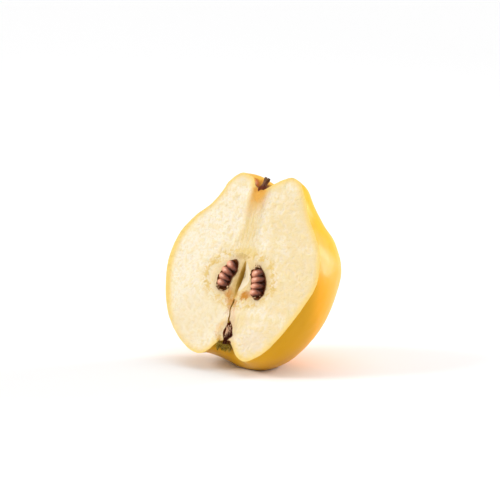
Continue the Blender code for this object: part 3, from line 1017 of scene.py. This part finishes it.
def lining_sheet(name):
    """Thin wall just inside a chamber, its lip torn to uneven heights."""
    _, walls, depth, deepest, edge = HOLLOWS[name]
    rim = closed_curve(edge, EDGE_STEPS)
    middle = np.array(deepest)
    points = []
    for ring, share in enumerate(LINING_SHARES):
        width, sunk = draw_in(walls, share)
        for x, z in rim:
            torn = max(0.0, 0.35 + wander((x, 2.0, z), 0.9) + 0.8 * wander((x, 4.0, z), 2.5))
            lip = torn if ring == 0 else 0.0
            out = width * LINING_WIDTH + LIP_FLARE * lip
            points.append((
                middle[0] + (x - middle[0]) * out, sunk * depth + LINING_SUNK - LIP_HEIGHT * lip,
                middle[1] + (z - middle[1]) * out))
    faces = ring_faces(len(LINING_SHARES), len(rim))
    return give_wall(thing_from(name + "_lining", points, faces), LINING_THICKNESS)


def flake_shape():
    """Curled scrap one millimetre across, torn at its edges."""
    spread = [i / (FLAKE_POINTS - 1) - 0.5 for i in range(FLAKE_POINTS)]
    points = []
    for x in spread:
        for z in spread:
            tear = 1.0 + 0.5 * wander((x * 9, 0.0, z * 9), 1.3)
            points.append((x * tear, 0.9 * x * x - 0.5 * z * z, z * tear))
    faces = grid_faces(FLAKE_POINTS, FLAKE_POINTS)
    return give_wall(thing_from("flake_shape", points, faces), FLAKE_THICKNESS)


def flake_finish():
    """Dull, patchy paper."""
    paper = Finish("papery_flake")
    patchy = paper.rise(paper.noise(0.9, 2.0, 0.5), 0.45, 0.62)
    colour = paper.mix(patchy, FLAKE_PALE, FLAKE_TAN)
    return paper.surface(Base_Color=colour, Roughness=0.7, Specular_IOR_Level=0.15)


def chamber_flakes():
    """Flakes stuck along runs of the chambers' edges."""
    draw = random.Random(FLAKE_SEED)
    places, turns, sizes = [], [], []
    for name, start, end, count, largest in FLAKE_RUNS:
        middle = np.array(HOLLOWS[name][3])
        rim = closed_curve(HOLLOWS[name][4], EDGE_STEPS) - middle
        angles = np.degrees(np.arctan2(rim[:, 1], rim[:, 0])) % 360.0
        for _ in range(count):
            nearest = np.argmin(np.abs(angles - draw.uniform(start, end)))
            x, z = middle + rim[nearest] * draw.uniform(0.86, 1.03)
            places.append((x, draw.uniform(-0.2, 0.35), z))
            lean, spin = draw.uniform(-0.7, 0.7), draw.uniform(0.0, math.tau)
            turns.append((lean, spin, draw.uniform(-0.7, 0.7)))
            size = largest * draw.uniform(0.5, 1.0)
            sizes.append((size, size, size * draw.uniform(0.5, 1.0)))
    flake = flake_shape()
    flakes = scatter("chamber_flakes", places, turns, sizes, flake, flake_finish())
    bpy.data.objects.remove(flake, do_unlink=True)
    return flakes


paper = lining_finish()
linings = [lining_sheet(name) for name in ("chamber_left", "chamber_right")]
for lining in linings:
    lining.data.materials.append(paper)
for piece in (*linings, chamber_flakes()):
    settle(piece)
    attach(piece, "root")


# ---- Stem
# The woody stub of the fruit's stalk, broken off short. It leans to the right out of its basin,
# with ridged dark bark, a swollen foot that is grown into the flesh, and a flared, torn end.

STEM_ROOT = Vector((-2.35, 2.1, 76.8))
STEM_LEAN = 0.3

# Stations of the stub, each (distance from its root, radius)
STEM_STATIONS = (
    (0.0, 1.6), (1.0, 1.95), (1.9, 1.95), (2.8, 1.5), (3.8, 1.18), (5.0, 1.12), (6.1, 1.26),
    (7.2, 1.46), (7.9, 1.38),
)
STEM_SIDES = 40
STEM_RINGS_BETWEEN = 6
RIDGE_COUNT = 5
RIDGE_HEIGHT = 0.10
BARK_HEIGHT = 0.12
TORN_HEIGHT = 0.5
TORN_END_SUNK = 0.55
BARK_DARK = paint(78, 42, 24)
BARK_LIGHT = paint(150, 106, 80)
BARK_FOOT = paint(108, 44, 12)
BARK_TOP = paint(108, 88, 62)


def stem_finish():
    """Dry bark with ridges up the stub, redder at its foot and greyer at its top."""
    bark = Finish("stem_bark")
    up_the_stub = bark.vector(bark.x * 2.2 - bark.z * 0.7, bark.y * 2.2, bark.z * 0.4)
    ridges = bark.noise(1.0, 4.0, 0.7, up_the_stub)
    colour = bark.mix(bark.rise(ridges, 0.35, 0.7), BARK_DARK, BARK_LIGHT)
    colour = bark.mix(bark.rise(bark.z, 80.8, 79.2) * 0.85, colour, BARK_FOOT)
    colour = bark.mix(bark.rise(bark.z, 81.5, 84.5) * 0.6, colour, BARK_TOP)
    return bark.surface(
        Base_Color=colour, Roughness=0.78, Specular_IOR_Level=0.2, Normal=bark.bump(ridges, 0.35))


def stem_piece():
    """Ridged, tapering tube of rings, closed at its foot and sunk at its torn end."""
    stations = through(STEM_STATIONS, STEM_RINGS_BETWEEN)
    rings = len(stations)
    direction = Vector((STEM_LEAN, 0.0, 1.0)).normalized()
    side = Vector((0.0, 1.0, 0.0))
    other = direction.cross(side)
    points = []
    for ring, (along, radius) in enumerate(stations):
        middle = STEM_ROOT + direction * along
        for k in range(STEM_SIDES):
            angle = 2 * math.pi * k / STEM_SIDES
            out = side * math.cos(angle) + other * math.sin(angle)
            ridge = RIDGE_HEIGHT * math.sin(RIDGE_COUNT * angle + 0.35 * along)
            bark = BARK_HEIGHT * wander(out * 2 + direction * along * 0.3, 0.8)
            point = middle + out * radius * (1 + (ridge + bark))
            if ring >= rings - 2:
                point += direction * TORN_HEIGHT * wander(out * 3, 0.9, 5.0)
            points.append(point)
    faces = ring_faces(rings, STEM_SIDES)
    for ring, sunk in ((0, 0.0), (rings - 1, TORN_END_SUNK)):
        centre = len(points)
        start = ring * STEM_SIDES
        points.append(STEM_ROOT + direction * (stations[ring][0] - sunk))
        faces += [(start + k, start + (k + 1) % STEM_SIDES, centre) for k in range(STEM_SIDES)]
    stem = thing_from("stem_stub", points, faces)
    face_outwards(stem.data)
    stem.data.materials.append(stem_finish())
    return stem


stem = stem_piece()
settle(stem)
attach(stem, "root")
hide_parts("stem")


# ---- Calyx
# The dried remains of the flower: a half ring in the basin that carries small crumpled sepals,
# olive and downy, and the threads of the stamens, which stand up in the dark tube.

# Sepals stand round a middle. Each follows a path outwards, (distance out, height), and has a
# half width at each of its points.
SEPALS_MIDDLE = (-1.3, 0.3, 0.0)
SEPAL_AZIMUTHS = (52.0, 68.0, 84.0, 98.0, 112.0, 126.0, 140.0, 154.0, 168.0)
SEPAL_PATH = ((2.0, 1.3), (2.9, 0.8), (3.8, -0.2), (4.3, -1.4), (4.1, -2.4))
SEPAL_HALF_WIDTHS = (0.8, 1.15, 1.05, 0.7, 0.15)
SEPAL_NARROWEST = 0.05
SEPAL_STEPS = 5
SEPAL_COLUMNS = 9
SEPAL_THICKNESS = 0.25
STAMEN_COUNT = 22
STAMEN_FOOT_HEIGHT = 0.75
STAMEN_LONGEST = 12.2
STAMEN_SHORTER_PER_MM_OUT = 2.2
THREAD_RADII = (0.11, 0.07)
ANTHER_RADIUS = 0.14
ANTHER_FLATNESS = 0.25
DOWN_SIZES = {"Hairs per mm2": 5.0, "Length": 1.0, "Thickness": 0.04}
CALYX_SEED = 5
SEPAL_DARK = paint(120, 90, 10)
SEPAL_OLIVE = paint(196, 164, 44)
SEPAL_ROOT = paint(120, 76, 24)
DOWN_DARK = paint(176, 146, 52)
DOWN_PALE = paint(224, 204, 124)
THREAD_SHADE_DARK = paint(76, 28, 4)
THREAD_PALE = paint(250, 204, 164)


def sepal_shape():
    """Curled blade in the plane X = 0, dried into uneven folds."""
    spine = through(SEPAL_PATH, SEPAL_STEPS)
    widths = [Vector((width, 0.0)) for width in SEPAL_HALF_WIDTHS]
    widths = [max(width.x, SEPAL_NARROWEST) for width in through(widths, SEPAL_STEPS)]
    points = []
    for row, ((out, height), width) in enumerate(zip(spine, widths)):
        for column in range(SEPAL_COLUMNS):
            share = column / (SEPAL_COLUMNS - 1) * 2 - 1
            curl = share * share
            fold = 0.3 * math.sin(row * 0.9 + column * 1.3) + 0.25 * wander((row, column, 0.0), 2.3)
            points.append((
                share * width + 0.25 * fold, out - 0.5 * curl + fold * 0.5,
                height + 0.4 * curl + fold))
    blade = thing_from("sepal_shape", points, grid_faces(len(spine), SEPAL_COLUMNS))
    return give_wall(blade, SEPAL_THICKNESS, 0.0)


def stamen_shape():
    """Thread of unit length along Z with a small swollen anther at its tip."""
    bm = bmesh.new()
    foot, top = THREAD_RADII
    bmesh.ops.create_cone(bm, cap_ends=True, segments=6, radius1=foot, radius2=top, depth=1.0)
    bmesh.ops.translate(bm, verts=bm.verts, vec=(0.0, 0.0, 0.5))
    tip = bmesh.ops.create_icosphere(bm, subdivisions=1, radius=ANTHER_RADIUS)
    for vert in tip["verts"]:
        vert.co.z = 1.0 + vert.co.z * ANTHER_FLATNESS
    return thing_of("stamen_shape", bm)


def sepal_finish():
    """Dry olive felt, browner at the roots of the sepals."""
    felt = Finish("dried_sepal")
    cloud = felt.noise(1.1, 3.0, 0.65)
    colour = felt.mix(felt.rise(cloud, 0.3, 0.7), SEPAL_DARK, SEPAL_OLIVE)
    colour = felt.mix(felt.rise(felt.z + cloud * 1.5, 0.8, 2.4) * 0.6, colour, SEPAL_ROOT)
    weave = felt.noise(4.0, 3.0, 0.7)
    return felt.surface(
        Base_Color=colour, Roughness=0.9, Specular_IOR_Level=0.15, Normal=felt.bump(weave, 0.3))


def down_finish():
    """Pale olive hairs."""
    down = Finish("sepal_down")
    colour = down.mix(down.noise(1.4, 2.0, 0.5), DOWN_DARK, DOWN_PALE)
    return down.surface(Base_Color=colour, Roughness=0.9, Specular_IOR_Level=0.15)


def thread_finish():
    """Dry threads with painted shade near black in the foot of the tube, and painted light pale
    towards its top and left.
    """
    thread = Finish("stamen_thread")
    cloud = thread.noise(0.8, 2.0, 0.5)
    # Painted light and shade: pale higher up and to the left, near black lower in the tube.
    lit = thread.rise(thread.z - thread.x * 0.9 + cloud * 5.0, 6.5, 10.0)
    colour = thread.mix(lit, THREAD_SHADE_DARK, THREAD_PALE)
    return thread.surface(Base_Color=colour, Roughness=0.8, Specular_IOR_Level=0.15)


def down_tree():
    """Geometry Nodes that set fine tapering hairs on a surface, each leaning its own way."""
    graph, (surface, amount, length, thickness, seed, finish) = new_tree("down_on_surface", (
        ("Surface", "Geometry"), ("Hairs per mm2", "Float"), ("Length", "Float"),
        ("Thickness", "Float"), ("Seed", "Int"), ("Finish", "Material")))
    roots = graph.node("GeometryNodeDistributePointsOnFaces", None, {
        "Mesh": surface, "Density": amount, "Seed": seed})
    out = Link(graph, roots.socket.node.outputs["Normal"])
    lean = graph.node("FunctionNodeRandomValue", {"data_type": "FLOAT_VECTOR"}, {
        "Min": (-0.7, -0.7, -0.7), "Max": (0.7, 0.7, 0.7), "Seed": seed})
    aim = graph.node("ShaderNodeVectorMath", {"operation": "ADD"}, {0: out, 1: lean})
    turn = graph.node("FunctionNodeAlignRotationToVector", {"axis": "Z"}, {"Vector": aim})
    hair = graph.node("GeometryNodeMeshCone", {"fill_type": "NGON"}, {
        "Vertices": 3, "Radius Top": 0.0, "Radius Bottom": thickness, "Depth": length})
    size = graph.node("FunctionNodeRandomValue", None, {2: 0.5, 3: 1.2, "Seed": seed}, 1)
    hairs = graph.node("GeometryNodeInstanceOnPoints", None, {
        "Points": roots, "Instance": hair, "Rotation": turn, "Scale": size})
    return end_tree(graph, hairs, finish)


def down_on(surface, name, finish):
    """The hairs on a piece, as one plain mesh object in the fruit's frame."""
    down = add(name, surface.data.copy())
    grow(down, down_tree(), {**DOWN_SIZES, "Seed": CALYX_SEED, "Finish": finish})
    return down


def calyx_pieces():
    """Sepals round the basin, the down on them, and the threads inside their ring."""
    draw = random.Random(CALYX_SEED)
    blade = sepal_shape()
    places = [SEPALS_MIDDLE] * len(SEPAL_AZIMUTHS)
    turns, sizes = [], []
    for azimuth in SEPAL_AZIMUTHS:
        lean, tip = draw.uniform(-0.15, 0.15), draw.uniform(-0.25, 0.25)
        turns.append((lean, tip, math.radians(azimuth - 90.0)))
        sizes.append((draw.uniform(0.7, 1.2), draw.uniform(0.75, 1.1), draw.uniform(0.7, 1.15)))
    sepals = scatter("sepals", places, turns, sizes, blade, sepal_finish())
    down = down_on(sepals, "sepal_down", down_finish())
    thread = stamen_shape()
    places, turns, sizes = [], [], []
    for count in range(STAMEN_COUNT):
        azimuth = math.pi * (0.1 + 0.8 * (count + draw.uniform(-0.3, 0.3)) / (STAMEN_COUNT - 1))
        radius = draw.uniform(0.6, 2.0)
        sideways, backwards = radius * math.cos(azimuth), radius * math.sin(azimuth)
        places.append((sideways - 0.2, backwards * 0.8 + 0.2, STAMEN_FOOT_HEIGHT))
        lean, tip = draw.uniform(-0.06, 0.12), draw.uniform(-0.1, 0.2)
        turns.append((lean, tip - 0.1 * math.cos(azimuth), 0.0))
        girth = draw.uniform(0.7, 1.3)
        longest = STAMEN_LONGEST - STAMEN_SHORTER_PER_MM_OUT * radius
        sizes.append((girth, girth, longest * draw.uniform(0.7, 1.0)))
    stamens = scatter("stamens", places, turns, sizes, thread, thread_finish())
    for shape in (blade, thread):
        bpy.data.objects.remove(shape, do_unlink=True)
    return sepals, down, stamens


sepals, down, stamens = calyx_pieces()
for piece in (sepals, down, stamens):
    settle(piece)
    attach(piece, "root")
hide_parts("calyx")


# ---- Floor, light and camera
# A plain pale floor under soft studio light: a broad light from the upper left for the cut face,
# weak ones from the right and from above, a tall one behind on the right for the shine along
# the skin, and an even white surround.

FLOOR_RADIUS = 6.0
FLOOR_WHITE = (0.93, 0.93, 0.93, 1.0)
SURROUND_STRENGTH = 0.47
AIM_FROM_MIDDLE = (0.00266, -0.00988, 0.01139)
VIEW_AZIMUTH = math.radians(36.0)
VIEW_ELEVATION = math.radians(11.0)
VIEW_DISTANCE = 1.10
LENS_MM = 164.7
SENSOR_MM = 36.0
CLIP_START = 0.01


def floor_piece():
    """Wide, plain disc under the fruit."""
    bm = bmesh.new()
    bmesh.ops.create_circle(bm, cap_ends=True, segments=96, radius=FLOOR_RADIUS)
    floor = thing_of("floor", bm)
    pale = Finish("pale_floor")
    floor.data.materials.append(
        pale.surface(Base_Color=FLOOR_WHITE, Roughness=0.9, Specular_IOR_Level=0.1))
    return floor


floor_piece()


def daylight(name, towards, spread, strength):
    """Broad, even light from the side that towards points to; spread is its width in degrees."""
    data = bpy.data.lights.new(name, "SUN")
    data.energy = strength
    data.angle = math.radians(spread)
    lamp = add(name, data)
    lamp.rotation_euler = Vector(towards).to_track_quat("Z", "Y").to_euler()


def softbox(name, towards, distance, width, height, power, tint, aim):
    """Area light that shines on aim from the side that towards points to."""
    data = bpy.data.lights.new(name, "AREA")
    data.shape = "RECTANGLE"
    data.color = tint
    data.size = width
    data.size_y = height
    data.energy = power
    lamp = add(name, data)
    lamp.location = aim + Vector(towards).normalized() * distance
    lamp.rotation_euler = (lamp.location - aim).to_track_quat("Z", "Y").to_euler()
    lamp.visible_camera = False


low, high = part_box("fruit_half")
middle = (low + high) / 2
daylight("face_light", towards=(-0.85, -0.75, 0.7), spread=25.0, strength=1.83)
daylight("skin_light", towards=(0.8, 0.55, 0.55), spread=40.0, strength=0.2)
daylight("top_light", towards=(0.0, 0.1, 1.0), spread=60.0, strength=0.86)
softbox("shine_light", towards=(0.5, 0.85, 0.14), distance=0.8, width=0.16, height=0.65,
        power=7.6, tint=(1.0, 0.9, 0.93), aim=middle)

world = bpy.data.worlds.new("surround")
world.use_nodes = True
surround = world.node_tree.nodes["Background"].inputs
surround["Color"].default_value = (1.0, 1.0, 1.0, 1.0)
surround["Strength"].default_value = SURROUND_STRENGTH
bpy.context.scene.world = world
bpy.context.scene.view_settings.view_transform = "Standard"

camera = add("camera", bpy.data.cameras.new("camera"))
camera.data.lens = LENS_MM
camera.data.sensor_width = SENSOR_MM
camera.data.clip_start = CLIP_START
aim = middle + Vector(AIM_FROM_MIDDLE)
level = math.cos(VIEW_ELEVATION)
back = Vector((math.sin(VIEW_AZIMUTH) * level, -math.cos(VIEW_AZIMUTH) * level,
               math.sin(VIEW_ELEVATION)))
camera.location = aim + back * VIEW_DISTANCE
camera.rotation_euler = back.to_track_quat("Z", "Y").to_euler()
bpy.context.scene.camera = camera
